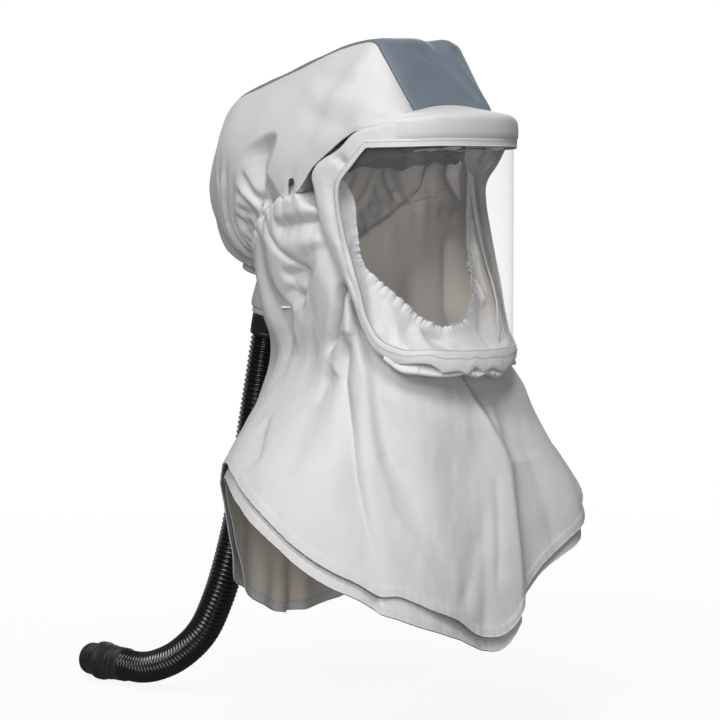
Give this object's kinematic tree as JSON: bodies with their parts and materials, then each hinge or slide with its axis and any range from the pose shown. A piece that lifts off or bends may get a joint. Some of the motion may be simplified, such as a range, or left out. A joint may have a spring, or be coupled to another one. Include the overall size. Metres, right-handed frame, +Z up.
{
  "type": "powered air respirator hood",
  "caption": "Loose fabric respirator hood with wedge crown, clear curved visor, stitched frame, gathered face seal, double shoulder cape and a corrugated air hose at the nape.",
  "frame": {"origin": "on the head axis at the height of the headband, where the hood sits on a head", "axes": "+Z up along the head axis, the wearer faces -Y, +X towards the wearer's left"},
  "size_m": [0.3426, 0.5782, 0.623],
  "materials": {
    "fabric_light": "light grey coated nonwoven, satin",
    "fabric_slate": "slate grey coated fabric, satin",
    "fabric_frame": "light grey coated fabric, stitched",
    "film_clear": "clear curved film, gloss",
    "fabric_roll": "light grey gathered fabric",
    "fabric_seal": "light grey thin fabric, gathered on elastic",
    "band_dark": "dark grey padded band, matt",
    "tab_plastic": "pale translucent plastic",
    "fabric_cape": "light grey coated fabric, satin, turned hem",
    "fabric_cape_inner": "light warm grey coated fabric, uncoated side showing",
    "tag_white": "white woven tape",
    "spout_plastic": "light grey moulded plastic",
    "hose_black": "black corrugated hose, semi gloss",
    "connector_black": "black moulded plastic"
  },
  "bodies": {
    "root": {"crown_shell": "fabric_light", "top_panel": "fabric_slate", "visor_frame": "fabric_frame", "visor_film": "film_clear", "chin_roll": "fabric_roll", "face_seal": "fabric_seal", "headband": "band_dark", "hanger_tab_right": "tab_plastic", "hanger_tab_left": "tab_plastic", "cape_outer": "fabric_cape", "cape_inner": "fabric_cape_inner", "seam_tag": "tag_white", "air_spout": "spout_plastic", "hose_cuff": "hose_black", "hose": "hose_black", "hose_connector": "connector_black"}
  },
  "joints": []
}
